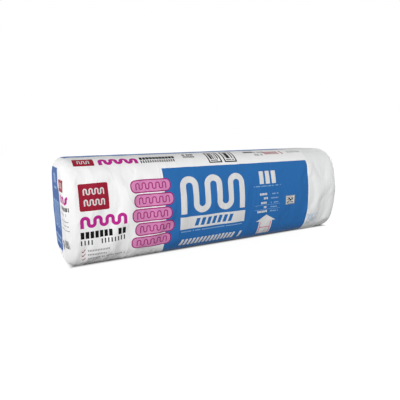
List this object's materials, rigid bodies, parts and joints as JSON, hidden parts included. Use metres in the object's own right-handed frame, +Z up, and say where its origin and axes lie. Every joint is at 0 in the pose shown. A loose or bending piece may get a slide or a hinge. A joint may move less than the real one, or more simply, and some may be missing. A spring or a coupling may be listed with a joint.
{
  "type": "bag of insulation batts",
  "caption": "Film bag of folded glass wool batts, with a swollen front and back, a flat underside, a smooth printed end and a welded end.",
  "frame": {"origin": "middle of the underside, on the floor", "axes": "+X along the bag from its smooth end to its welded end, +Y from its front to its back, +Z up"},
  "size_m": [1.22, 0.345, 0.375],
  "materials": {
    "bag_film": "white polyethylene film with a blue printed panel",
    "glass_wool": "pressed pink glass wool"
  },
  "bodies": {
    "root": {"film_bag": "bag_film", "batt_1": "glass_wool", "batt_2": "glass_wool", "batt_3": "glass_wool", "batt_4": "glass_wool", "batt_5": "glass_wool", "batt_6": "glass_wool", "batt_7": "glass_wool", "batt_8": "glass_wool"}
  },
  "joints": []
}
